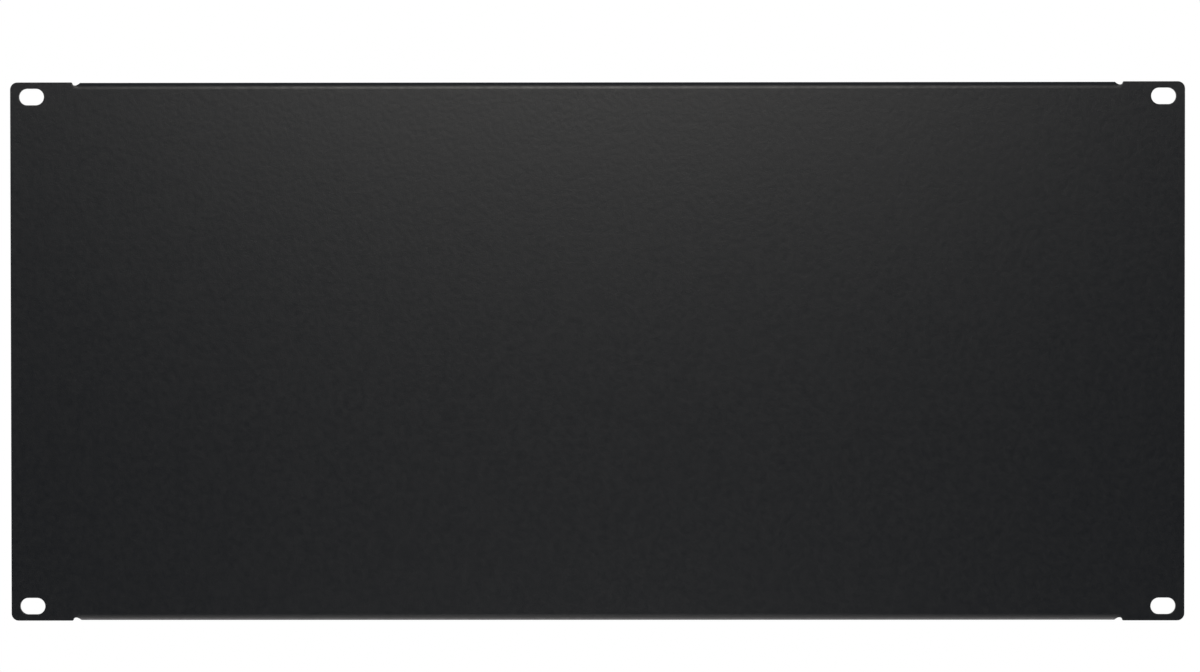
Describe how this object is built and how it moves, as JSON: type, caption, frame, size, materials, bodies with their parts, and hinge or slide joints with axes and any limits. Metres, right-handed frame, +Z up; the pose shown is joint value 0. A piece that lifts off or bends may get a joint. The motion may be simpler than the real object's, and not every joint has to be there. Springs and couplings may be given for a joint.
{
  "type": "rack blanking panel",
  "caption": "Flat sheet-steel panel with folded top and bottom edges and slotted fixing holes in its ears, for closing unused space in an equipment rack.",
  "frame": {"origin": "centre of the rail slots' pattern, on the rear face that lies against the rack's rails", "axes": "+X to the right as seen from the front, +Z up, +Y to the rear, from the face into the rack"},
  "size_m": [0.4826, 0.0127, 0.2214],
  "materials": {
    "powder_coat": "satin black powder coat with a fine texture"
  },
  "bodies": {
    "root": {"blanking_panel": "powder_coat"}
  },
  "joints": []
}
